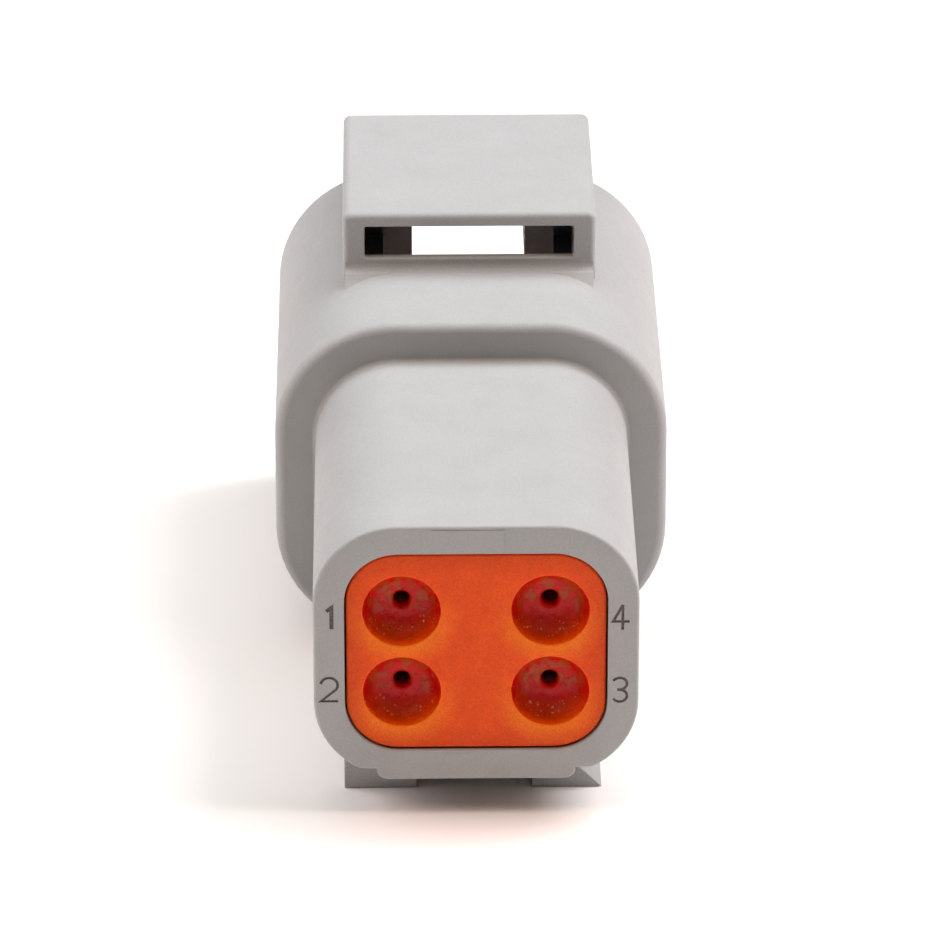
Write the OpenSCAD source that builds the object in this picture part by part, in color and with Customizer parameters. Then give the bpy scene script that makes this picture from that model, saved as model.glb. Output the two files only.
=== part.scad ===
// Sealed automotive receptacle: the pin half of a small latched wire-to-wire connector.
// +Y runs from the wire end to the mating mouth, +Z is up through the latch bridge.
// Every module is drawn about the centre line of the contact group, with the wire
// end at Y = 0, and stand() then sets the part on its base with the origin centred.

/* [Contact layout] */
// Distance between the two columns of contacts
col_pitch = 6.86; // [6.4:0.01:7.2]
// Distance between the two rows of contacts
row_pitch = 4.19; // [4:0.01:4.4]

/* [Rear body] */
// Width of the rear body
body_w = 15.04; // [14.8:0.02:15.6]
// Height of the rear body before its base is flattened
body_h = 13.04; // [12.8:0.02:13.4]
// Depth of the flat along the body's base
base_flat = 0.44; // [0.2:0.02:0.6]
// Outer corner radius of the rear body
body_r = 3.95; // [3.4:0.05:4.4]
// Length of the rear body, from the wire end to the shell
body_len = 17.8; // [17.2:0.1:18.4]
// Depth of the seal's pocket from the wire end
pocket_depth = 8.3; // [8:0.1:9]

/* [Mating shell] */
// Width of the shell
shell_w = 19; // [18.6:0.1:20]
// Height of the shell
shell_h = 16.9; // [16.7:0.1:17.5]
// Outer corner radius of the shell
shell_r = 5.9; // [5.2:0.1:6.4]
// Wall thickness of the shell
shell_wall = 1.5; // [1.3:0.1:1.6]
// Radius of the shell's rear outer edge
shell_edge = 0.5; // [0.2:0.1:0.8]
// Overall length, from the wire end to the mouth
total_len = 36.6; // [36.2:0.1:38]

/* [Latch bridge] */
// Outer width of the bridge
bridge_w = 12.36; // [12:0.02:12.8]
// Height of the bridge above the shell
bridge_h = 3; // [2.8:0.1:3.4]
// Thickness of the bridge's roof
roof_t = 0.7; // [0.6:0.05:0.9]
// Height of the sill that closes the window's frame at the bottom
sill_h = 0.65; // [0.4:0.05:0.8]
// Width of the window between the bridge's posts
window_w = 10.24; // [9.8:0.02:10.4]
// Width of the slot that the latch arm runs in
slot_w = 5.56; // [5:0.02:6]

/* [Wire seal] */
// Width of the seal's face
seal_w = 12.12; // [11.9:0.02:12.2]
// Height of the seal's face
seal_h = 10.18; // [10:0.02:10.2]
// Radius of the cup around each wire hole
cup_r = 1.8; // [1.6:0.05:1.9]
// Radius of the narrow throats that grip the wire
throat_r = 0.38; // [0.3:0.02:0.5]

/* [Contacts] */
// Radius of the contact pin
pin_r = 0.51; // [0.48:0.01:0.55]
// Distance from the pin's tip back to the mouth
pin_recess = 3.4; // [3:0.1:4]

/* [Hidden] */
$fn = 64;

GREY = [0.79, 0.79, 0.78];
SEAL_ORANGE = [0.88, 0.30, 0.10];
LOCK_ORANGE = [0.93, 0.42, 0.08];
PLATING = [0.80, 0.78, 0.73];

BASE_Z = shell_h / 2;
SKIN = 0.01;        // thickness of the plates that a hull is stretched over
OVER = 1;           // how far a cutter runs past the face it opens

// the wire end
POCKET_GAP = 0.16;  // step between the seal's face and the pocket wall
POCKET_W = seal_w + 2 * POCKET_GAP;
POCKET_H = seal_h + 2 * POCKET_GAP;
SEAL_R = 2.5;
SEAL_FACE_Y = 0.15;
SEAL_END_Y = pocket_depth - 0.1;
LIP_W = 9.3;
LIP_DROP = 0.55;
LIP_LEN = 2.5;

// the rails that a mounting clip slides on
RAIL_LEFT = [-6.16, -2.75];
RAIL_RIGHT = [2.65, 4.5];
RAIL_TOE = 1.46;    // reach of the dovetail beyond the right rail's neck

// the contact block inside the housing
BLOCK_FRONT_Y = 19.4;    // inner rear face of the mating cavity
PLINTH_Y = 20.9;
STEP_Y = 17.1;           // shoulder that stops a contact
BARREL_BORE_R = 1.55;
COLLAR_BORE_R = 1.3;

// the locking fingers
FINGER_X = [1.0, 1.95];
FINGER_W = 2.4;
FINGER_TIP_Y = 24.5;
HOOK_X = 2.55;
HOOK_Y = 22.4;
ROOT_STEP = 0.17;   // the pin's root is this much fatter than its free length

// the latch channel, seen from the wire end
BRIDGE_Y = 24.2;
ROOF_Z = BASE_Z + bridge_h - roof_t;
SILL_T = 0.42;      // thickness of the frame's sill
WELL_LEN = 3.58;    // well that the latch's ears rise through, behind the sill
WELL_Y = BRIDGE_Y + SILL_T;
WELL_END_Y = WELL_Y + WELL_LEN;
PAD_RAMP = 1.2;     // length of the ramp up to the level pad under the bridge
PAD_DROP = 0.65;
SHOULDER_LEN = 5.2;
RELIEF_W = 0.9;
RELIEF_LEN = 3.0;
RELIEF_DROP = 1.3;
BRIDGE_EDGE = 0.4;

// the wedge lock
WEDGE_Y = [BLOCK_FRONT_Y + 0.05, 26.8];
WEDGE_PLATE = 1.8;
WEDGE_WALL = 1.1;
RUN_GAP = 0.05;     // running clearance of the wedge on the plinth and fingers
PLINTH_W = 10.6;
PLINTH_H = 7.8;
PLINTH_R = 1.35;

// cavities in numbered order: column sign, row sign, as numbered on the wire end
CAVITIES = [[-1, 1], [-1, -1], [1, -1], [1, 1]];
function cavity_at(k) = [CAVITIES[k][0] * col_pitch / 2, 0, CAVITIES[k][1] * row_pitch / 2];

// ---------- drawing helpers ----------

module stand() translate([0, -total_len / 2, BASE_Z]) children();

// an outline drawn in X and Z, extruded from y0 to y1
module along(y0, y1) translate([0, y1, 0]) rotate([90, 0, 0]) linear_extrude(y1 - y0) children();

// a profile of [radius, y] points, turned about the Y axis
module turned(profile) rotate([-90, 0, 0]) rotate_extrude() polygon(profile);

module rounded_rect(w, h, r) {
    square([w - 2 * r, h], center = true);
    square([w, h - 2 * r], center = true);
    for (sx = [-1, 1], sz = [-1, 1]) translate([sx * (w / 2 - r), sz * (h / 2 - r)]) circle(r);
}

// a box given by its limits on each axis
module span(x, y, z) translate([x[0], y[0], z[0]]) cube([x[1] - x[0], y[1] - y[0], z[1] - z[0]]);

// stations [distance from the end, inset] round a quarter-circle edge of radius e
function edge_stations(e, steps = 4) = [for (i = [0:steps]) let (a = 90 * i / steps) e * [1 - cos(a), 1 - sin(a)]];

// a rounded prism along Y whose two end edges are rounded by e0 and e1
module soft_prism(w, h, r, y0, y1, e0, e1) hull() {
    for (s = edge_stations(e0))
        along(y0 + s[0], y0 + s[0] + SKIN) rounded_rect(w - 2 * s[1], h - 2 * s[1], r - s[1], $fn = 48);
    for (s = edge_stations(e1))
        along(y1 - s[0] - SKIN, y1 - s[0]) rounded_rect(w - 2 * s[1], h - 2 * s[1], r - s[1], $fn = 48);
}

// ---------- housing ----------

module rear_body() {
    along(0, body_len + shell_wall / 2) difference() {
        rounded_rect(body_w, body_h, body_r);
        translate([-body_w / 2, -body_h / 2 - OVER]) square([body_w, OVER + base_flat]);
    }
    bottom_lip();
    clip_rails();
}

// the short step under the wire end
module bottom_lip() {
    low = base_flat - body_h / 2 - LIP_DROP;
    translate([0, 0, low + 1]) along(0, LIP_LEN) rounded_rect(LIP_W, 2, LIP_DROP);
}

// two rails on the base: a straight one, and one with a dovetail flank
module clip_rails() {
    base = -BASE_Z;
    root = -row_pitch;
    neck = base + RAIL_TOE;
    along(LIP_LEN, body_len + shell_edge) {
        polygon([[RAIL_LEFT[0], root], [RAIL_LEFT[1], root], [RAIL_LEFT[1], base], [RAIL_LEFT[0], base]]);
        polygon([[RAIL_RIGHT[0], root], [RAIL_RIGHT[1], root], [RAIL_RIGHT[1], neck],
                 [RAIL_RIGHT[1] + RAIL_TOE, base], [RAIL_RIGHT[0], base]]);
    }
}

module shell_outside() soft_prism(shell_w, shell_h, shell_r, body_len, total_len, shell_edge, 0.25);

// the box over the latch, open at the wire side, with its outer edges rounded
module bridge_outside() difference() {
    x = bridge_w / 2 - BRIDGE_EDGE;
    top = BASE_Z + bridge_h - BRIDGE_EDGE;
    hull() for (sx = [-1, 1], y = [BRIDGE_Y + BRIDGE_EDGE, total_len - BRIDGE_EDGE]) translate([sx * x, y, 0]) {
        translate([0, 0, top]) sphere(BRIDGE_EDGE, $fn = 32);
        translate([0, 0, BASE_Z - 1.2 * shell_wall]) cylinder(top - BASE_Z + shell_wall, r = BRIDGE_EDGE, $fn = 32);
    }
    // window in the frame, then the way down behind its sill
    span([-window_w / 2, window_w / 2], [BRIDGE_Y - OVER, WELL_Y + 0.1], [BASE_Z + sill_h, ROOF_Z]);
    span([-window_w / 2, window_w / 2], [WELL_Y, WELL_END_Y], [BASE_Z - 1.3 * shell_wall, ROOF_Z]);
}

// level pad that the bridge's corners stand on where the shell curves away, with a ramp at its near end
module bridge_pad() rotate([90, 0, 90]) translate([0, 0, -bridge_w / 2]) linear_extrude(bridge_w)
    polygon([[BRIDGE_Y - PAD_RAMP, BASE_Z - PAD_DROP], [BRIDGE_Y, BASE_Z], [total_len - 0.5, BASE_Z],
             [total_len - 0.5, BASE_Z - 1.2 * shell_wall], [BRIDGE_Y - PAD_RAMP, BASE_Z - 1.2 * shell_wall]]);

module seal_pocket() along(-OVER, pocket_depth) rounded_rect(POCKET_W, POCKET_H, SEAL_R + POCKET_GAP);

module contact_bores() for (k = [0:3]) translate(cavity_at(k)) {
    turned([[0, pocket_depth - OVER], [BARREL_BORE_R, pocket_depth - OVER], [BARREL_BORE_R, STEP_Y],
            [COLLAR_BORE_R, STEP_Y], [COLLAR_BORE_R, PLINTH_Y + OVER], [0, PLINTH_Y + OVER]]);
}

module mating_cavity() {
    w = shell_w - 2 * shell_wall;
    h = shell_h - 2 * shell_wall;
    along(BLOCK_FRONT_Y, total_len + OVER) rounded_rect(w, h, shell_r - shell_wall);
}

// well, arm slot and open front of the latch channel; what is left between them are two shoulders
module latch_channel() {
    floor_z = BASE_Z - shell_wall - OVER;
    half = window_w / 2;
    front = WELL_END_Y + SHOULDER_LEN;
    span([-half, half], [WELL_Y, WELL_END_Y], [floor_z, ROOF_Z]);
    span([-slot_w / 2, slot_w / 2], [WELL_END_Y - 0.1, total_len + OVER], [floor_z, ROOF_Z]);
    span([-half, half], [front, total_len + OVER], [floor_z, ROOF_Z]);
    for (side = [0, 1]) mirror([side, 0, 0])
        span([half - RELIEF_W, half], [WELL_END_Y - 0.1, WELL_END_Y + RELIEF_LEN], [BASE_Z - RELIEF_DROP, ROOF_Z]);
}

module plinth() difference() {
    along(BLOCK_FRONT_Y - shell_wall / 2, PLINTH_Y) rounded_rect(PLINTH_W, PLINTH_H, PLINTH_R);
    contact_bores();
}

// slot left by the core between the two pairs of fingers
module block_core() span([-0.8, 0.8], [pocket_depth + 2.2, PLINTH_Y + OVER], [-2.9, 2.9]);

// a springy finger beside each contact, with a hook that drops behind its collar
module locking_fingers() for (k = [0:3]) {
    side = CAVITIES[k][0];
    z = CAVITIES[k][1] * row_pitch / 2;
    translate([0, 0, z - FINGER_W / 2]) scale([side, 1, 1]) linear_extrude(FINGER_W)
        polygon([[FINGER_X[0], PLINTH_Y - 0.4], [FINGER_X[1], PLINTH_Y - 0.4], [FINGER_X[1], HOOK_Y - 1.1],
                 [HOOK_X, HOOK_Y - 0.4], [HOOK_X, HOOK_Y], [FINGER_X[1], HOOK_Y],
                 [FINGER_X[1], FINGER_TIP_Y], [FINGER_X[0], FINGER_TIP_Y]]);
}

// polarising ribs along the side walls of the mating cavity
module key_ribs() {
    wall = shell_w / 2 - shell_wall;
    span([-wall - 0.1, -wall + 0.7], [BLOCK_FRONT_Y - 0.1, total_len - 2], [-2.0, -0.8]);
    span([wall - 0.7, wall + 0.1], [BLOCK_FRONT_Y - 0.1, total_len - 2], [0.8, 2.0]);
}

module housing() color(GREY) stand() {
    difference() {
        union() {
            difference() {
                union() {
                    rear_body();
                    shell_outside();
                    bridge_outside();
                    bridge_pad();
                }
                mating_cavity();
                latch_channel();
            }
            plinth();
            key_ribs();
        }
        seal_pocket();
        contact_bores();
        block_core();
    }
    locking_fingers();
}

// ---------- rear seal ----------

// one sealing rib round the outside, fullest at its crest
module seal_rib(y) hull() {
    along(y - 0.65, y + 0.65) rounded_rect(seal_w - 1, seal_h - 1, SEAL_R - 0.5, $fn = 32);
    along(y - 0.2, y + 0.2) rounded_rect(POCKET_W, POCKET_H, SEAL_R + POCKET_GAP, $fn = 32);
}

// outline of one wire hole: a cup, then chambers parted by throats
function cup_profile(steps = 10) = [for (i = [0:steps]) let (a = 90 * i / steps)
    [throat_r + (cup_r - throat_r) * cos(a), SEAL_FACE_Y + 1.1 * sin(a)]];
function chamber_profile(y) = [[throat_r, y], [1.15, y + 0.5], [1.15, y + 1.3], [throat_r, y + 1.8]];

module wire_hole() turned(concat(
    [[0, SEAL_FACE_Y - OVER], [cup_r, SEAL_FACE_Y - OVER]],
    cup_profile(),
    chamber_profile(1.9),
    chamber_profile(4.1),
    [[throat_r, 6.3], [1.3, 7.2], [1.3, SEAL_END_Y + OVER], [0, SEAL_END_Y + OVER]]));

module rear_seal() color(SEAL_ORANGE) stand() difference() {
    union() {
        along(SEAL_FACE_Y, SEAL_FACE_Y + 1.2) rounded_rect(seal_w, seal_h, SEAL_R);
        along(SEAL_FACE_Y + 1.1, SEAL_END_Y) rounded_rect(seal_w - 1, seal_h - 1, SEAL_R - 0.5);
        for (y = [2.4, 4.4, 6.4]) seal_rib(y);
    }
    for (k = [0:3]) translate(cavity_at(k)) wire_hole();
}

// ---------- wedge lock ----------

module lock_skirt() {
    inner_w = PLINTH_W + 2 * RUN_GAP;
    inner_h = PLINTH_H + 2 * RUN_GAP;
    along(WEDGE_Y[0], WEDGE_Y[1] - WEDGE_PLATE / 2) difference() {
        rounded_rect(inner_w + 2 * WEDGE_WALL, inner_h + 2 * WEDGE_WALL, PLINTH_R + WEDGE_WALL);
        rounded_rect(inner_w, inner_h, PLINTH_R + RUN_GAP);
    }
}

module lock_plate() difference() {
    w = PLINTH_W + 2 * (RUN_GAP + WEDGE_WALL);
    h = PLINTH_H + 2 * (RUN_GAP + WEDGE_WALL);
    along(WEDGE_Y[1] - WEDGE_PLATE, WEDGE_Y[1]) rounded_rect(w, h, PLINTH_R + WEDGE_WALL);
    for (k = [0:3]) translate(cavity_at(k)) pin_hole();
    // pocket for the hook that pulls the lock out
    span([-1.1, 1.1], [WEDGE_Y[1] - 0.9, WEDGE_Y[1] + OVER], [-1.5, 1.5]);
}

// clearance hole with a funnel on the mating side
module pin_hole() {
    front = WEDGE_Y[1];
    turned([[0, front - WEDGE_PLATE - OVER], [0.85, front - WEDGE_PLATE - OVER], [0.85, front - 0.5],
            [1.25, front], [1.25, front + OVER], [0, front + OVER]]);
}

// the blade that fills the gap between the fingers, so that none can bend inwards
module lock_blade() {
    half = FINGER_X[0] - RUN_GAP;
    root = WEDGE_Y[1] - WEDGE_PLATE / 2;
    tip = PLINTH_Y + 0.1;
    translate([0, 0, -3.3]) linear_extrude(6.6)
        polygon([[-half, root], [half, root], [half, tip + 0.8], [half / 2, tip], [-half / 2, tip], [-half, tip + 0.8]]);
}

module wedge_lock() color(LOCK_ORANGE) stand() {
    lock_skirt();
    lock_plate();
    lock_blade();
}

// ---------- contacts ----------

// a solid turned pin: crimp barrel, stop flange, neck, collar, root and rounded pin
module contact(k) color(PLATING) stand() translate(cavity_at(k)) {
    tip = total_len - pin_recess;
    barrel_y = pocket_depth + 1.3;
    root_end = WEDGE_Y[1] + 0.1;
    nose = [for (i = [0:6]) let (a = 15 * i) [pin_r * cos(a), tip - pin_r + pin_r * sin(a)]];
    difference() {
        turned(concat(
            [[0, barrel_y], [0.85, barrel_y], [1.0, barrel_y + 0.15], [1.0, STEP_Y - 0.9],
             [1.45, STEP_Y - 0.9], [1.45, STEP_Y], [0.8, STEP_Y], [0.8, HOOK_Y + 0.1],
             [1.05, HOOK_Y + 0.1], [1.225, HOOK_Y + 0.3], [1.225, HOOK_Y + 0.8], [1.0, HOOK_Y + 1.0],
             [pin_r + ROOT_STEP, HOOK_Y + 1.0], [pin_r + ROOT_STEP, root_end], [pin_r, root_end + ROOT_STEP]],
            nose));
        turned([[0, barrel_y - OVER], [0.62, barrel_y - OVER], [0.62, barrel_y + 5.6], [0, barrel_y + 6.0]]);
        // inspection hole at the barrel's end
        translate([0, barrel_y + 5.1, 0]) cylinder(2, r = 0.35);
    }
}

housing();
rear_seal();
wedge_lock();
contact(0);  // contact_1
contact(1);  // contact_2
contact(2);  // contact_3
contact(3);  // contact_4
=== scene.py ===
"""Looks of the sealed automotive receptacle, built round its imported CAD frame.

Meshes are drawn in millimetres about the centre line of the contacts, with the wire
end at Y = 0, as in the part's source. place() then sets them in the frame, in metres.
"""

import math

import bmesh
import bpy
from mathutils import Matrix, Vector


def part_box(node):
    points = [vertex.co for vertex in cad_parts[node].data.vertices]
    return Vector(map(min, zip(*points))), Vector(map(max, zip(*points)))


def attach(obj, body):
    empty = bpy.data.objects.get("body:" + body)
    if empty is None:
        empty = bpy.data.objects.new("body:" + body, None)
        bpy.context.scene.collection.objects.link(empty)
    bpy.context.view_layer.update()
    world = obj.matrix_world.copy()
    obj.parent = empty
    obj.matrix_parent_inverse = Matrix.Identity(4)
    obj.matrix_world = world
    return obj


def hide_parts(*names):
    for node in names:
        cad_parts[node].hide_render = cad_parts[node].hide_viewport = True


MM = 0.001

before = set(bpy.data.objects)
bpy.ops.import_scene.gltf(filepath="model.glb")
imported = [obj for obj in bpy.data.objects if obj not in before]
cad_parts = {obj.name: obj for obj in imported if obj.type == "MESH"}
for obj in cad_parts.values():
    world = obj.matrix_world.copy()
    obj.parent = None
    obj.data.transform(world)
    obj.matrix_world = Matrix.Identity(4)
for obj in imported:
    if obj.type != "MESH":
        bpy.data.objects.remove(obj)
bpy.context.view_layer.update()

# ---------- sizes, from the frame where it gives them ----------


def box_mm(node):
    """Lowest and highest corner of a CAD node, in millimetres."""
    low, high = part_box(node)
    return low / MM, high / MM


def middle(node):
    low, high = box_mm(node)
    return (low + high) / 2


HOUSING_LOW, HOUSING_HIGH = box_mm("housing")
COL_PITCH = middle("contact_4").x - middle("contact_1").x
ROW_PITCH = middle("contact_1").z - middle("contact_2").z
AXIS_Z = (middle("contact_1").z + middle("contact_2").z) / 2
TOTAL_LEN = HOUSING_HIGH.y - HOUSING_LOW.y
SHELL_W = HOUSING_HIGH.x - HOUSING_LOW.x
SHELL_H = 2 * AXIS_Z
SHELL_TOP = SHELL_H / 2
BRIDGE_TOP = HOUSING_HIGH.z - AXIS_Z

# rear body, its base cut flat
BODY_W = 15.04
BODY_H = 13.04
BODY_R = 3.95
BODY_FLAT = 0.44
BODY_LEN = 17.8

# step and clip rails below the rear body
LIP_W = 9.3
LIP_R = 0.55
LIP_LEN = 2.5
LIP_Z = (-6.63, -5.7)
RAIL_LEFT = (-6.16, -2.75)
RAIL_RIGHT = (2.65, 4.5)
RAIL_TOE = 1.46

# mating shell, and the contact block inside it
SHELL_R = 5.9
SHELL_WALL = 1.5
BLOCK_FRONT = 19.4
PLINTH_Y = 20.9
PLINTH_W = 10.6
PLINTH_H = 7.8
PLINTH_R = 1.35
RIB_REACH = 0.7

# contact cavities and locking fingers
BARREL_BORE_R = 1.55
COLLAR_BORE_R = 1.3
STEP_Y = 17.1
BORE_LEAD = 0.2
FINGER_X = (1.0, 1.95)
FINGER_W = 2.4
FINGER_TIP = 24.5
FINGER_CHAMFER = 0.1
HOOK_X = 2.55
HOOK_Y = 22.4

# latch bridge, the pad it stands on and the channel through it
BRIDGE_W = 12.36
BRIDGE_Y = 24.2
BRIDGE_ROOT = 7.2
BRIDGE_R = 0.4
ROOF_Z = BRIDGE_TOP - 0.7
SILL_H = 0.65
WINDOW_W = 10.24
WELL_Y = BRIDGE_Y + 0.42
WELL_END = WELL_Y + 3.58
SHOULDER_LEN = 5.2
SLOT_W = 5.56
RELIEF_W = 0.9
RELIEF_LEN = 3.0
RELIEF_DROP = 1.3
PAD_RAMP = 1.2
PAD_DROP = 0.65
PAD_FILLET = 0.42
PAD_INSET = 0.12

# rear seal and its pocket
POCKET_DEPTH = 8.3
POCKET_W = 12.16
POCKET_H = 10.2
POCKET_R = 2.5
POCKET_GAP = 0.08
SEAL_FACE = 0.15
SEAL_RIBS = (2.4, 4.4, 6.4)
SEAL_WAIST = 0.5
CUP_R = 1.8
CUP_DEPTH = 1.25
CUP_LIP = 0.05
THROAT_R = 0.38
THROAT_EDGE = 0.22

# steps in a quarter turn, and how far a cutter runs past the face it opens
CORNER_STEPS = 16
EDGE_STEPS = 5
BOWL_STEPS = 14
THROAT_STEPS = 6
FILLET_STEPS = 8
OVER = 1.0

# cavities in numbered order, as the column's and the row's side of the centre
CAVITIES = ((-1, 1), (-1, -1), (1, -1), (1, 1))


def cavity_at(k):
    column, row = CAVITIES[k]
    return column * COL_PITCH / 2, row * ROW_PITCH / 2


# ---------- mesh helpers ----------


def quarter(steps, start=0):
    """Angles of a quarter turn from start degrees, both ends included, in radians."""
    return [math.radians(start + 90 * i / steps) for i in range(steps + 1)]


class Outline:
    """A rounded rectangle in X and Z.

    It has a width, a height, a corner radius, the height of its centre, and the depth of a flat cut into
    its base.
    """

    def __init__(self, w, h, r, rise=0.0, flat=0.0):
        self.w, self.h, self.r, self.rise, self.flat = w, h, r, rise, flat

    def inset(self, d):
        return Outline(self.w - 2 * d, self.h - 2 * d, self.r - d, self.rise, self.flat)

    def ring(self, y):
        """Its points at a distance y along the part, anticlockwise as seen from the wire end."""
        points = []
        corners = ((1, 1, 0), (-1, 1, 90), (-1, -1, 180), (1, -1, 270))
        for sx, sz, start in corners:
            x = sx * (self.w / 2 - self.r)
            z = sz * (self.h / 2 - self.r) + self.rise
            for a in quarter(CORNER_STEPS, start):
                points.append((x + self.r * math.cos(a), y, z + self.r * math.sin(a)))
        low = self.rise - self.h / 2 + self.flat
        return [(x, y, max(z, low)) for x, y, z in points]


def edge_stations(e):
    """Steps (distance from the face, inset) round a quarter-circle edge of radius e, from the face."""
    return [(e * (1 - math.cos(a)), e * (1 - math.sin(a))) for a in quarter(EDGE_STEPS)]


def new_object(name, bm):
    mesh = bpy.data.meshes.new(name)
    bm.normal_update()
    bm.to_mesh(mesh)
    bm.free()
    obj = bpy.data.objects.new(name, mesh)
    bpy.context.scene.collection.objects.link(obj)
    return obj


def loft(name, rings):
    """A closed solid through rings of equal length, with a flat cap on each end."""
    bm = bmesh.new()
    rows = [[bm.verts.new(p) for p in ring] for ring in rings]
    n = len(rows[0])
    for a, b in zip(rows, rows[1:]):
        for i in range(n):
            j = (i + 1) % n
            bm.faces.new((a[i], a[j], b[j], b[i]))
    bm.faces.new(rows[0][::-1])
    bm.faces.new(rows[-1])
    bmesh.ops.recalc_face_normals(bm, faces=bm.faces)
    return new_object(name, bm)


def turned(name, profile, x, z, segments=48):
    """A closed solid of revolution about the line through x, z along Y, from (radius, y) points.

    The profile starts and ends on the axis, at radius 0.
    """
    bm = bmesh.new()
    ends = [bm.verts.new((x, profile[0][1], z)), bm.verts.new((x, profile[-1][1], z))]
    angles = [2 * math.pi * i / segments for i in range(segments)]
    rows = []
    for r, y in profile[1:-1]:
        rows.append([bm.verts.new((x + r * math.cos(a), y, z + r * math.sin(a))) for a in angles])
    for i in range(segments):
        j = (i + 1) % segments
        for a, b in zip(rows, rows[1:]):
            bm.faces.new((a[i], a[j], b[j], b[i]))
        bm.faces.new((ends[0], rows[0][j], rows[0][i]))
        bm.faces.new((ends[1], rows[-1][i], rows[-1][j]))
    bmesh.ops.recalc_face_normals(bm, faces=bm.faces)
    return new_object(name, bm)


def round_edges(bm, radius, steps):
    bmesh.ops.bevel(bm, geom=bm.edges[:], offset=radius, segments=steps, profile=0.5, affect="EDGES")


def block(name, xs, ys, zs, edge=0.0):
    """A box from its limits, with all its edges rounded by edge."""
    bm = bmesh.new()
    bmesh.ops.create_cube(bm, size=1)
    size = (xs[1] - xs[0], ys[1] - ys[0], zs[1] - zs[0])
    centre = (sum(xs) / 2, sum(ys) / 2, sum(zs) / 2)
    to_limits = Matrix.Translation(centre) @ Matrix.Diagonal((*size, 1))
    bmesh.ops.transform(bm, matrix=to_limits, verts=bm.verts)
    if edge:
        round_edges(bm, edge, 3)
    return new_object(name, bm)


def extruded(name, outline, ys, edge):
    """A prism along Y from an outline of (x, z) points, with all its edges rounded by edge."""
    obj = loft(name, [[(x, y, z) for x, z in outline] for y in ys])
    bm = bmesh.new()
    bm.from_mesh(obj.data)
    round_edges(bm, edge, 2)
    bm.to_mesh(obj.data)
    bm.free()
    return obj


def combine(target, other, operation):
    """Adds or takes away another solid, which is used up; its materials come along."""
    modifier = target.modifiers.new("combine", "BOOLEAN")
    modifier.object, modifier.operation, modifier.solver = other, operation, "EXACT"
    modifier.material_mode = "TRANSFER"
    graph = bpy.context.evaluated_depsgraph_get()
    mesh = bpy.data.meshes.new_from_object(target.evaluated_get(graph))
    target.modifiers.clear()
    old = target.data
    target.data = mesh
    bpy.data.meshes.remove(old)
    bpy.data.objects.remove(other)


def add(target, *others):
    for other in others:
        combine(target, other, "UNION")


def cut(target, *others):
    for other in others:
        combine(target, other, "DIFFERENCE")


def place(obj, smooth_deg=32):
    """Moves a piece from the drawing's millimetres into the frame and smooths its shallow edges."""
    to_frame = Matrix.Translation((0, HOUSING_LOW.y * MM, AXIS_Z * MM)) @ Matrix.Scale(MM, 4)
    obj.data.transform(to_frame)
    for polygon in obj.data.polygons:
        polygon.use_smooth = True
    obj.data.set_sharp_from_angle(angle=math.radians(smooth_deg))
    normals = obj.modifiers.new("face_normals", "WEIGHTED_NORMAL")
    normals.keep_sharp = True


# ---------- housing ----------

BODY = Outline(BODY_W, BODY_H, BODY_R, flat=BODY_FLAT)
SHELL = Outline(SHELL_W, SHELL_H, SHELL_R)
CAVITY = SHELL.inset(SHELL_WALL)
POCKET = Outline(POCKET_W, POCKET_H, POCKET_R)


def body_and_shell():
    """One loft from the seal pocket's floor, round both rims, to the floor of the mating cavity."""
    rim_in, rim_out, step, rear, mouth, lead_in = 0.06, 0.16, 0.2, 0.5, 0.25, 0.3
    rings = [POCKET.ring(POCKET_DEPTH)]
    rings += [POCKET.inset(-s).ring(d) for d, s in edge_stations(rim_in)[::-1]]
    rings += [BODY.inset(s).ring(d) for d, s in edge_stations(rim_out)]
    rings += [BODY.inset(-d).ring(BODY_LEN - s) for d, s in edge_stations(step)]
    rings += [SHELL.inset(s).ring(BODY_LEN + d) for d, s in edge_stations(rear)]
    rings += [SHELL.inset(s).ring(TOTAL_LEN - d) for d, s in edge_stations(mouth)[::-1]]
    rings += [CAVITY.inset(-s).ring(TOTAL_LEN - d) for d, s in edge_stations(lead_in)]
    rings += [CAVITY.ring(BLOCK_FRONT)]
    return loft("housing_shell", rings)


def bottom_lip():
    """The short step under the wire end, its lower corners round and its free edges rounded."""
    low, top = LIP_Z

    def ring(y, s):
        outline = Outline(LIP_W - 2 * s, top - low - s, LIP_R - s, (top + low + s) / 2)
        return [(x, y, top if z > top - LIP_R - 0.01 else z) for x, y, z in outline.ring(y)]

    stations = edge_stations(0.12)
    rings = [ring(d, s) for d, s in stations]
    rings += [ring(LIP_LEN - d, s) for d, s in stations[::-1]]
    return loft("lip", rings)


def clip_rails():
    """A straight rail on the left and one with a dovetail flank on the right, rooted in the body."""
    base, root = -SHELL_TOP, -5.5
    outer, inner = RAIL_LEFT
    left = [(outer, base), (inner, base), (inner, root - 0.15), (-5.2, root + 0.2), (outer, root + 1)]
    inner, neck = RAIL_RIGHT
    right = [(inner, base), (neck + RAIL_TOE, base), (neck, base + RAIL_TOE), (neck, root), (inner, root)]
    return [extruded("rail", outline, (LIP_LEN, BODY_LEN + 0.3), 0.07) for outline in (left, right)]


def flared_box(name, xs, ys, zs, flare, corner=0.12):
    """A cutter along Y whose near end flares, so that it leaves a rounded edge."""
    hole = Outline(xs[1] - xs[0], zs[1] - zs[0], corner, (zs[0] + zs[1]) / 2)
    rings = [hole.inset(-flare).ring(ys[0] - OVER)]
    rings += [hole.inset(-s).ring(ys[0] + d) for d, s in edge_stations(flare)]
    rings += [hole.ring(ys[1])]
    return loft(name, rings)


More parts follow.
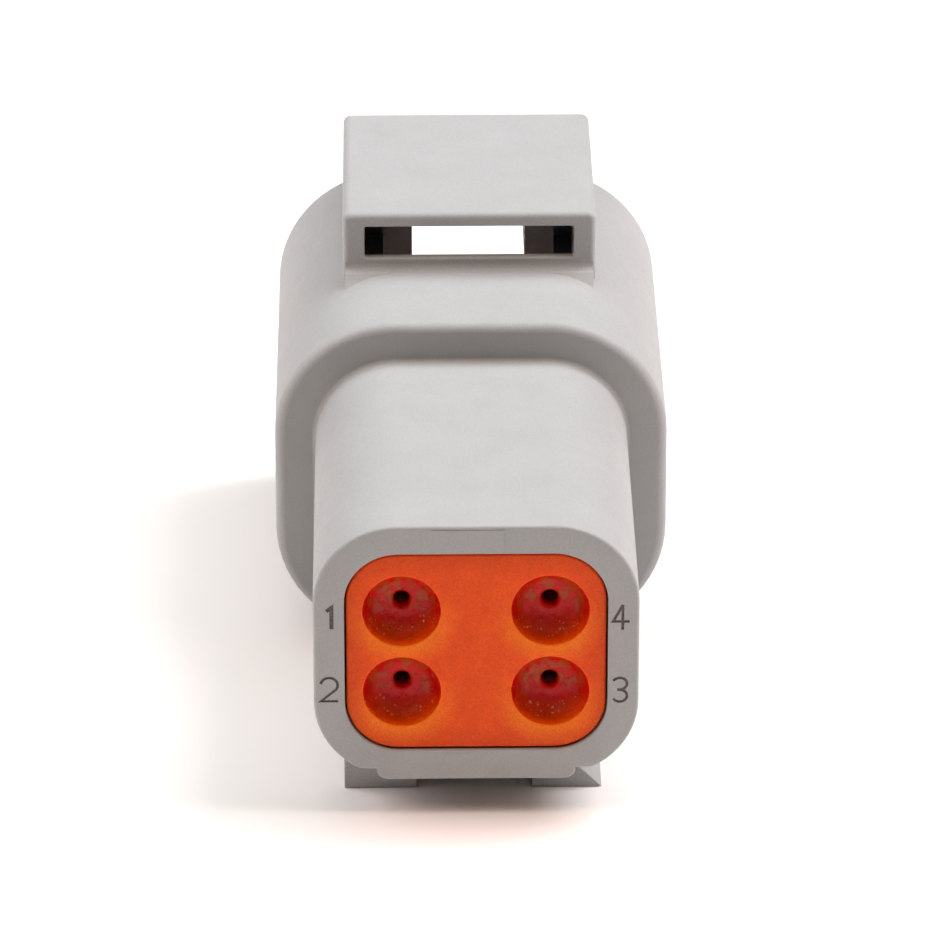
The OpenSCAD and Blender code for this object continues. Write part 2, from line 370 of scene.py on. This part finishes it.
def latch_bridge():
    """The box over the latch: a frame with a sill at the near end, hollow and open below behind it."""
    near, far = 0.3, 0.1
    half = WINDOW_W / 2
    outline = Outline(BRIDGE_W, BRIDGE_TOP - BRIDGE_ROOT, BRIDGE_R, (BRIDGE_TOP + BRIDGE_ROOT) / 2)
    rings = [outline.inset(s).ring(BRIDGE_Y + d) for d, s in edge_stations(near)]
    rings += [outline.inset(s).ring(TOTAL_LEN - d) for d, s in edge_stations(far)[::-1]]
    obj = loft("bridge", rings)
    cut(obj, flared_box("window", (-half, half), (BRIDGE_Y, WELL_Y + 0.1), (SHELL_TOP + SILL_H, ROOF_Z), 0.1))
    cut(obj, block("hollow", (-half, half), (WELL_Y, WELL_END), (BRIDGE_ROOT - 0.8, ROOF_Z)))
    return obj


def bridge_pad():
    """The level pad under the bridge's corners, with a ramp and a hollow fillet at its near end."""
    half = BRIDGE_W / 2 - PAD_INSET
    start, meet, end = BRIDGE_Y - PAD_RAMP, BRIDGE_Y + 0.2, TOTAL_LEN - 0.5
    profile = [(start, SHELL_TOP - PAD_DROP)]
    for a in quarter(FILLET_STEPS):
        y = BRIDGE_Y - PAD_FILLET * (1 - math.sin(a))
        profile.append((y, SHELL_TOP + PAD_FILLET * (1 - math.cos(a))))
    profile += [(meet, SHELL_TOP + PAD_FILLET), (meet, SHELL_TOP), (end, SHELL_TOP)]
    profile += [(end, BRIDGE_ROOT), (start, BRIDGE_ROOT)]
    return loft("pad", [[(x, y, z) for y, z in profile] for x in (-half, half)])


def channel_cutters():
    """What opens the latch channel: a well, a slot for the latch's arm, the open front and two reliefs."""
    half = WINDOW_W / 2
    zs = (SHELL_TOP - SHELL_WALL - OVER, ROOF_Z)
    far = TOTAL_LEN + OVER
    yield block("well", (-half, half), (WELL_Y, WELL_END), zs)
    yield block("arm_slot", (-SLOT_W / 2, SLOT_W / 2), (WELL_END - 0.5, far), zs)
    yield block("front", (-half, half), (WELL_END + SHOULDER_LEN, far), zs)
    for side in (-1, 1):
        xs = sorted((side * half, side * (half - RELIEF_W)))
        yield block("relief", xs, (WELL_END - 0.1, WELL_END + RELIEF_LEN), (SHELL_TOP - RELIEF_DROP, ROOF_Z))


def contact_bore(k):
    near, far = POCKET_DEPTH - OVER, PLINTH_Y + OVER
    mouth_r = COLLAR_BORE_R + BORE_LEAD
    profile = [(0, near), (BARREL_BORE_R, near), (BARREL_BORE_R, STEP_Y), (COLLAR_BORE_R, STEP_Y)]
    profile += [(COLLAR_BORE_R, PLINTH_Y - BORE_LEAD), (mouth_r, PLINTH_Y), (mouth_r, far), (0, far)]
    return turned("bore", profile, *cavity_at(k))


def locking_finger(k):
    """A springy finger beside a contact, with a hook that drops behind its collar."""
    column, row = CAVITIES[k]
    inner, outer = FINGER_X
    root, tip, chamfer = PLINTH_Y - 0.4, FINGER_TIP, FINGER_CHAMFER
    profile = [(inner, root), (outer, root), (outer, HOOK_Y - 1.1), (HOOK_X, HOOK_Y - 0.4), (HOOK_X, HOOK_Y)]
    profile += [(outer, HOOK_Y), (outer, tip - chamfer), (outer - chamfer, tip)]
    profile += [(inner + chamfer, tip), (inner, tip - chamfer)]
    z = row * ROW_PITCH / 2
    zs = (z - FINGER_W / 2, z + FINGER_W / 2)
    return loft("finger", [[(column * x, y, height) for x, y in profile] for height in zs])


def key_ribs():
    """Polarising ribs along the side walls of the mating cavity."""
    wall = SHELL_W / 2 - SHELL_WALL
    ys = (BLOCK_FRONT - 0.1, TOTAL_LEN - 2)
    yield block("rib", (-wall - 0.1, -wall + RIB_REACH), ys, (-2.0, -0.8), 0.08)
    yield block("rib", (wall - RIB_REACH, wall + 0.1), ys, (0.8, 2.0), 0.08)


def plinth():
    outline = Outline(PLINTH_W, PLINTH_H, PLINTH_R)
    rings = [outline.ring(BLOCK_FRONT - 0.5)]
    rings += [outline.inset(s).ring(PLINTH_Y - d) for d, s in edge_stations(0.15)[::-1]]
    return loft("plinth", rings)


def block_core():
    """The slot that the mould's core leaves between the two pairs of fingers."""
    return block("core", (-0.8, 0.8), (POCKET_DEPTH + 2.2, PLINTH_Y + OVER), (-2.9, 2.9))


def build_housing():
    obj = body_and_shell()
    add(obj, bottom_lip(), *clip_rails(), bridge_pad(), latch_bridge())
    cut(obj, *channel_cutters())
    add(obj, plinth(), *key_ribs())
    cut(obj, *(contact_bore(k) for k in range(4)))
    cut(obj, block_core())
    add(obj, *(locking_finger(k) for k in range(4)))
    return obj


# ---------- marks on the housing's rim ----------


def stroke(points, width, depth):
    """A cutter for one groove in the rim's face, along (x, z) points, with mitred corners."""
    sides = ([], [])
    for i, point in enumerate(points):
        here = Vector(point)
        before = (here - Vector(points[i - 1])).normalized() if i else None
        after = (Vector(points[i + 1]) - here).normalized() if i + 1 < len(points) else None
        before, after = before or after, after or before
        across = Vector((-before.y - after.y, before.x + after.x)).normalized()
        reach = width / 2 / max(across.dot(Vector((-before.y, before.x))), 0.4)
        sides[0].append(here + across * reach)
        sides[1].append(here - across * reach)
    outline = sides[0] + sides[1][::-1]
    return loft("groove", [[(x, y, z) for x, z in outline] for y in (-OVER, depth)])


def arc(x, z, rx, rz, start, end, steps=10):
    angles = [math.radians(start + (end - start) * i / steps) for i in range(steps + 1)]
    return [(x + rx * math.cos(a), z + rz * math.sin(a)) for a in angles]


def cavity_numbers():
    """Strokes of the plain figures 1 to 4 beside the cavities, each with its width."""
    thin, bold = 0.13, 0.19
    yield bold, [(-6.9, 2.22), (-6.66, 2.4), (-6.66, 1.3)]
    yield thin, arc(-6.8, -1.62, 0.4, 0.38, 170, -35) + [(-7.18, -2.46), (-6.39, -2.46)]
    yield thin, arc(6.64, -1.64, 0.34, 0.31, 150, -90) + [(6.52, -1.95)]
    yield thin, [(6.54, -1.95)] + arc(6.64, -2.265, 0.34, 0.315, 90, -150)
    yield thin, [(6.75, 2.46), (6.31, 1.6), (7.06, 1.6)]
    yield thin, [(6.75, 2.46), (6.75, 1.17)]


def mould_marks():
    """Faint lines on the rim, where the tool's inserts meet, each with its width."""
    fine = 0.035
    yield fine, [(-2.1, 6.34), (1.32, 6.34), (1.32, 5.3)]
    yield fine, [(-1.45, -5.9), (-1.45, -5.24), (-0.3, -5.24)]


def engrave(obj, lines, depth, material):
    for width, line in lines:
        groove = stroke(line, width, depth)
        dress(groove, material)
        cut(obj, groove)


# ---------- rear seal ----------


def seal_body():
    """The seal's outside: a rounded face, a waist and three ribs that meet the pocket wall."""
    wall = POCKET.inset(0.005)
    face = POCKET.inset(POCKET_GAP)
    waist = face.inset(SEAL_WAIST)
    rings = [face.inset(s).ring(SEAL_FACE + d) for d, s in edge_stations(0.12)]
    rings += [face.ring(1.35), waist.ring(1.45)]
    for y in SEAL_RIBS:
        rings += [waist.ring(y - 0.65), wall.ring(y - 0.2), wall.ring(y + 0.2), waist.ring(y + 0.65)]
    rings += [waist.ring(POCKET_DEPTH - 0.1)]
    return loft("wire_seal", rings)


def cup_cutter(k):
    """A bowl with a crisp rim, a soft-edged throat, then two chambers parted by throats."""
    floor_r = THROAT_R + THROAT_EDGE
    floor_y = SEAL_FACE + CUP_DEPTH
    far = POCKET_DEPTH + OVER
    profile = [(0, SEAL_FACE - OVER), (CUP_R + CUP_LIP, SEAL_FACE - OVER)]
    profile += [(CUP_R + s, SEAL_FACE + d) for d, s in edge_stations(CUP_LIP)]
    for a in quarter(BOWL_STEPS)[1:]:
        r = floor_r + (CUP_R - floor_r) * math.cos(a)
        profile.append((r, SEAL_FACE + CUP_LIP + (CUP_DEPTH - CUP_LIP) * math.sin(a)))
    for a in quarter(THROAT_STEPS)[1:]:
        profile.append((floor_r - THROAT_EDGE * math.sin(a), floor_y + THROAT_EDGE * (1 - math.cos(a))))
    for y in (1.9, 4.1):
        profile += [(THROAT_R, y), (1.15, y + 0.5), (1.15, y + 1.3), (THROAT_R, y + 1.8)]
    profile += [(THROAT_R, 6.3), (1.3, 7.2), (1.3, far), (0, far)]
    return turned("cup", profile, *cavity_at(k), 96)


def build_seal():
    obj = seal_body()
    cut(obj, *(cup_cutter(k) for k in range(4)))
    return obj


# ---------- materials ----------


class Graph:
    """A node tree, with a short method for each kind of node that the materials use."""

    def __init__(self, tree):
        self.nodes, self.links = tree.nodes, tree.links

    def feed(self, socket, value):
        """Gives a socket a number, a colour, three lengths or another node's output."""
        if isinstance(value, bpy.types.NodeSocket):
            self.links.new(value, socket)
        elif isinstance(value, tuple) and socket.type == "RGBA":
            socket.default_value = (*value, 1)
        else:
            socket.default_value = value

    def fill(self, node, inputs):
        for name, value in inputs.items():
            self.feed(node.inputs[name], value)

    def where(self):
        """The point in the object's own space, in metres."""
        return self.nodes.new("ShaderNodeTexCoord").outputs["Object"]

    def maths(self, operation, *values, clamp=False):
        node = self.nodes.new("ShaderNodeMath")
        node.operation, node.use_clamp = operation, clamp
        for socket, value in zip(node.inputs, values):
            self.feed(socket, value)
        return node.outputs["Value"]

    def noise(self, size_mm, detail=3.0, roughness=0.5):
        """Noise with features about size_mm across."""
        node = self.nodes.new("ShaderNodeTexNoise")
        scale = 1 / (size_mm * MM)
        self.fill(node, {"Vector": self.where(), "Scale": scale, "Detail": detail, "Roughness": roughness})
        return node.outputs["Fac"]

    def span(self, value, low, high, from_low=0.3, from_high=0.7):
        """A value moved from one range to another, and held within it."""
        node = self.nodes.new("ShaderNodeMapRange")
        self.fill(node, {"Value": value, "To Min": low, "To Max": high})
        self.fill(node, {"From Min": from_low, "From Max": from_high})
        return node.outputs["Result"]

    def mix(self, factor, first, second, kind="MIX"):
        """Two colours mixed, the second as far as the factor from 0 to 1 says."""
        node = self.nodes.new("ShaderNodeMix")
        node.data_type, node.blend_type = "RGBA", kind
        self.fill(node, {"Factor": factor, "A": first, "B": second})
        return node.outputs["Result"]

    def bump(self, height, height_mm, onto=None):
        node = self.nodes.new("ShaderNodeBump")
        self.fill(node, {"Height": height, "Strength": 1.0, "Distance": height_mm * MM})
        if onto:
            self.feed(node.inputs["Normal"], onto)
        return node.outputs["Normal"]


def new_material(name):
    material = bpy.data.materials.new(name)
    material.use_nodes = True
    graph = Graph(material.node_tree)
    shader = next(n for n in graph.nodes if n.type == "BSDF_PRINCIPLED")
    return material, graph, shader


def housing_plastic():
    material, graph, shader = new_material("housing_plastic")
    mottle = graph.span(graph.noise(2.5), 0, 1)
    colour = graph.mix(mottle, (0.394, 0.396, 0.394), (0.416, 0.418, 0.416))
    speckle = graph.span(graph.noise(0.055, 1), 0, 1)
    fine = graph.mix(speckle, (0.87, 0.87, 0.87), (1.03, 1.03, 1.03))
    grain = graph.bump(graph.noise(0.07, 2), 0.008)
    graph.fill(shader, {
        "Base Color": graph.mix(1.0, colour, fine, "MULTIPLY"),
        "Roughness": graph.span(graph.noise(0.4), 0.5, 0.62),
        "Specular IOR Level": 0.35,
        "Normal": graph.bump(graph.noise(1.6, 2), 0.01, grain),
    })
    return material


# Painted shade: the engraved figures' grooves are coloured dark in place of the shade that falls inside them.
def painted_groove_shade():
    material, graph, shader = new_material("painted_groove_shade")
    shade_mottle = graph.span(graph.noise(0.12), 0, 1)
    graph.fill(shader, {
        "Base Color": graph.mix(shade_mottle, (0.09, 0.08, 0.075), (0.17, 0.155, 0.145)),
        "Roughness": 0.8,
        "Normal": graph.bump(graph.noise(0.05, 2), 0.01),
    })
    return material


def cup_position(graph):
    """Where a point of the seal lies, in millimetres.

    It gives, for the upper and the lower row of cups, the distance from the nearest cup's axis and how far
    round to its underside the point is (1 right below, -1 right above); then the distance past the seal's
    border (negative inside) and the depth behind its face.
    """
    do = graph.maths
    split = graph.nodes.new("ShaderNodeSeparateXYZ")
    graph.feed(split.inputs["Vector"], graph.where())
    x, y, z = (do("MULTIPLY", split.outputs[axis], 1 / MM) for axis in "XYZ")
    z = do("SUBTRACT", z, AXIS_Z)
    across = do("SUBTRACT", do("ABSOLUTE", x), COL_PITCH / 2)
    rows = []
    for row in (1, -1):
        height = do("SUBTRACT", z, row * ROW_PITCH / 2)
        distance = do("SQRT", do("ADD", do("POWER", across, 2.0), do("POWER", height, 2.0)))
        rows.append((distance, do("DIVIDE", do("MULTIPLY", height, -1.0), distance)))
    past_side = do("SUBTRACT", do("ABSOLUTE", x), POCKET_W / 2)
    past_top = do("SUBTRACT", do("ABSOLUTE", z), POCKET_H / 2)
    edge = do("MAXIMUM", past_side, past_top)
    return rows, edge, do("SUBTRACT", y, HOUSING_LOW.y + SEAL_FACE)


def seal_rubber():
    """Translucent silicone: matt and orange outside, wet and deep red in the cups, with light and shade
    painted on: bright below the cups, dark along the border, reflections and glints in the cups.
    """
    material, graph, shader = new_material("seal_rubber")
    do, span, mix = graph.maths, graph.span, graph.mix

    rows, edge, depth = cup_position(graph)
    (upper_distance, upper_low), (lower_distance, lower_low) = rows
    in_upper = do("LESS_THAN", upper_distance, lower_distance)
    in_lower = do("SUBTRACT", 1.0, in_upper)
    distance = do("MINIMUM", upper_distance, lower_distance)
    low = do("ADD", do("MULTIPLY", in_upper, upper_low), do("MULTIPLY", in_lower, lower_low))
    reach = do("DIVIDE", distance, CUP_R)
    in_cup = do("MULTIPLY", do("LESS_THAN", distance, CUP_R + CUP_LIP), span(depth, 0, 1, 0.01, 0.10))

    # the face: mottled, with painted light in the thin webs below the cups, which are coloured brighter, and
    # painted shade darkening it along its border
    mottle = span(graph.noise(0.9), 0, 1)
    face = mix(mottle, (0.83, 0.086, 0.003), (0.92, 0.104, 0.004))
    # painted light: the thin webs below each cup are coloured brighter, as if lit through from the cup
    painted_web_glows = []
    for row_distance, row_low in rows:
        fade = span(row_distance, 1, 0, CUP_R, CUP_R + 1.1)
        painted_web_glows.append(do("MULTIPLY", span(row_low, 0, 1, -0.4, 1.0), fade))
    face = mix(do("MAXIMUM", *painted_web_glows), face, (1.0, 0.23, 0.004))
    # painted shade: the face is coloured darker along its border, where the pocket's rim shades it
    face = mix(span(edge, 0, 0.42, -1.3, 0.0), face, (0.62, 0.052, 0.004))

    # the cups: a dark film; drier flakes in its upper part, coloured with a painted reflection; a painted lit
    # crescent low down; and beads on that, coloured with painted glints
    film = mix(mottle, (0.60, 0.003, 0.001), (0.70, 0.006, 0.002))
    dry_flakes_and_painted_reflection = span(graph.noise(0.5, 5, 0.6), 0, 1, 0.48, 0.51)
    zone = do("MULTIPLY", span(low, 1, 0, 0.0, 0.7), span(reach, 1, 0, 0.8, 0.92))
    # painted reflection: the flakes in the upper part are coloured lighter and browner, as a reflection on
    # the wet film
    film = mix(do("MULTIPLY", dry_flakes_and_painted_reflection, zone), film, (0.50, 0.060, 0.010))
    # painted light: the lower arc of each cup is coloured bright orange, as if lit from above
    painted_lit_crescent = span(do("MULTIPLY", low, do("POWER", reach, 3.0)), 0, 1, 0.15, 0.9)
    film = mix(painted_lit_crescent, film, (1.0, 0.14, 0.003))
    beads, painted_glint_colour = bead_and_glint_pattern(graph)
    arc_band = do("MULTIPLY", span(low, 0, 1, 0.3, 0.55), span(reach, 0, 1, 0.6, 0.75))
    beads = do("MULTIPLY", beads, do("MULTIPLY", arc_band, span(reach, 1, 0, 0.93, 0.96)))
    # painted glints: the beads are coloured bright, in place of highlights on them
    film = mix(beads, film, painted_glint_colour)

    colour = mix(in_cup, face, film)
    fine = mix(span(graph.noise(0.06, 1), 0, 1), (0.84, 0.72, 0.84), (1.04, 1.10, 1.04))
    wet = do("MULTIPLY", in_cup, span(dry_flakes_and_painted_reflection, 0.6, 1.0, 0, 1))
    normal = graph.bump(graph.noise(0.12, 3), 0.008)
    normal = graph.bump(do("MULTIPLY", dry_flakes_and_painted_reflection, in_cup), 0.012, normal)
    graph.fill(shader, {
        "Base Color": mix(1.0, colour, fine, "MULTIPLY"),
        "Roughness": span(wet, 0.55, 0.14, 0, 1),
        "Specular IOR Level": 0.2,
        "Subsurface Weight": 0.6,
        "Subsurface Radius": (1.0, 0.3, 0.05),
        "Subsurface Scale": 0.5 * MM,
        "Normal": graph.bump(beads, 0.02, normal),
    })
    return material


def bead_and_glint_pattern(graph):
    """Scattered droplets of the assembly fluid, of uneven shape and size: their place, and a bright colour
    painted on them as glints.
    """
    cells = graph.nodes.new("ShaderNodeTexVoronoi")
    graph.fill(cells, {"Vector": graph.where(), "Scale": 1 / (0.17 * MM)})
    chance = graph.nodes.new("ShaderNodeSeparateColor")
    graph.feed(chance.inputs["Color"], cells.outputs["Color"])
    size = graph.span(chance.outputs["Red"], 0.0, 0.55, 0.35, 1.0)
    ragged = graph.span(graph.noise(0.07, 2), -0.22, 0.12)
    inside = graph.maths("SUBTRACT", graph.maths("ADD", size, ragged), cells.outputs["Distance"])
    # painted glints: a bright colour on each droplet stands in for its highlight
    colour = graph.mix(chance.outputs["Green"], (1.0, 0.26, 0.03), (1.0, 0.66, 0.36))
    return graph.span(inside, 0, 1, 0.0, 0.12), colour


def lock_plastic():
    material, graph, shader = new_material("lock_plastic")
    mottle = graph.span(graph.noise(1.5), 0, 1)
    graph.fill(shader, {
        "Base Color": graph.mix(mottle, (0.80, 0.16, 0.012), (0.86, 0.19, 0.018)),
        "Roughness": graph.span(graph.noise(0.4), 0.35, 0.5),
        "Normal": graph.bump(graph.noise(0.1, 2), 0.004),
    })
    return material


def contact_plating():
    material, graph, shader = new_material("contact_plating")
    tarnish = graph.span(graph.noise(0.7), 0, 1)
    graph.fill(shader, {
        "Base Color": graph.mix(tarnish, (0.56, 0.53, 0.46), (0.66, 0.64, 0.59)),
        "Metallic": 1.0,
        "Roughness": graph.span(graph.noise(0.25), 0.22, 0.38),
        "Normal": graph.bump(graph.noise(0.09, 2), 0.0004),
    })
    return material


def dress(obj, material):
    obj.data.materials.clear()
    obj.data.materials.append(material)


# ---------- pieces ----------

grey = housing_plastic()

housing = build_housing()
dress(housing, grey)
engrave(housing, cavity_numbers(), 0.05, painted_groove_shade())
engrave(housing, mould_marks(), 0.02, grey)
place(housing)
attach(housing, "receptacle")
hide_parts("housing")

seal = build_seal()
dress(seal, seal_rubber())
place(seal, 40)
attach(seal, "receptacle")
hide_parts("rear_seal")

dress(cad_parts["wedge_lock"], lock_plastic())
plating = contact_plating()
for k in range(1, 5):
    dress(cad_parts[f"contact_{k}"], plating)

# ---------- floor, light and camera ----------


def pale_floor():
    bpy.ops.mesh.primitive_plane_add(size=6)
    floor = bpy.context.object
    floor.name = "floor"
    material, graph, shader = new_material("floor_paper")
    graph.fill(shader, {"Base Color": (0.94, 0.91, 0.885), "Roughness": 0.9, "Specular IOR Level": 0.1})
    floor.data.materials.append(material)


def white_backdrop():
    """A world that is white where the camera looks, dim in reflections and lights nothing."""
    world = bpy.data.worlds.new("studio")
    bpy.context.scene.world = world
    world.use_nodes = True
    graph = Graph(world.node_tree)
    graph.nodes.clear()
    output, path = graph.nodes.new("ShaderNodeOutputWorld"), graph.nodes.new("ShaderNodeLightPath")
    dark, white = (graph.nodes.new("ShaderNodeBackground") for i in range(2))
    graph.fill(dark, {"Strength": 0.0})
    graph.fill(white, {"Color": (1, 1, 1), "Strength": 1.0})
    sheen = graph.maths("MULTIPLY", path.outputs["Is Glossy Ray"], 0.35)
    seen = graph.maths("ADD", path.outputs["Is Camera Ray"], path.outputs["Is Transmission Ray"])
    choice = graph.nodes.new("ShaderNodeMixShader")
    graph.feed(choice.inputs["Fac"], graph.maths("ADD", seen, sheen, clamp=True))
    graph.feed(choice.inputs[1], dark.outputs["Background"])
    graph.feed(choice.inputs[2], white.outputs["Background"])
    graph.feed(output.inputs["Surface"], choice.outputs["Shader"])


def area_light(name, size, watts, location):
    """A soft panel that faces the part; watts is its power in red, green and blue."""
    aim = Vector((0, 0, 0.005))
    light = bpy.data.lights.new(name, "AREA")
    light.shape = "RECTANGLE"
    light.size, light.size_y = size
    light.energy = max(watts)
    light.color = [w / max(watts) for w in watts]
    obj = bpy.data.objects.new(name, light)
    bpy.context.scene.collection.objects.link(obj)
    obj.location = location
    obj.rotation_euler = (aim - Vector(location)).to_track_quat("-Z", "Y").to_euler()


def set_camera():
    """The photo's viewpoint, a little to the left of the part and above it, with a slight roll."""
    eye = Vector((-3.659, -285.144, 148.610)) * MM
    target = Vector((-0.089, -3.3, 10.508)) * MM
    roll = math.radians(-0.045)
    camera = bpy.data.cameras.new("camera")
    camera.lens, camera.sensor_width = 250.18, 36.0
    camera.clip_start, camera.clip_end = 0.01, 20
    obj = bpy.data.objects.new("camera", camera)
    bpy.context.scene.collection.objects.link(obj)
    back = (eye - target).normalized()
    level = Vector((0, 0, 1)).cross(back).normalized()
    upright = back.cross(level)
    right = level * math.cos(roll) + upright * math.sin(roll)
    up = upright * math.cos(roll) - level * math.sin(roll)
    obj.matrix_world = Matrix.Translation(eye) @ Matrix((right, up, back)).transposed().to_4x4()
    bpy.context.scene.camera = obj


pale_floor()
white_backdrop()
area_light("top", (1.0, 0.3), (1.48, 0.98, 0.60), (-0.02, 0.02, 0.5))
area_light("top_rear", (1.0, 0.3), (0.86, 1.68, 2.10), (-0.02, 0.14, 0.5))
area_light("right_up", (0.3, 0.3), (2.25, 2.05, 2.15), (0.3, 0.05, 0.42))
area_light("right_high", (0.4, 0.4), (0.60, 0.62, 0.50), (0.42, 0.03, 0.34))
area_light("right_low", (0.3, 0.3), (0.30, 0.12, 0.14), (0.5, 0.03, 0.12))
area_light("left_high", (0.4, 0.4), (1.90, 1.62, 1.60), (-0.42, 0.03, 0.34))
set_camera()
bpy.context.scene.view_settings.view_transform = "Standard"
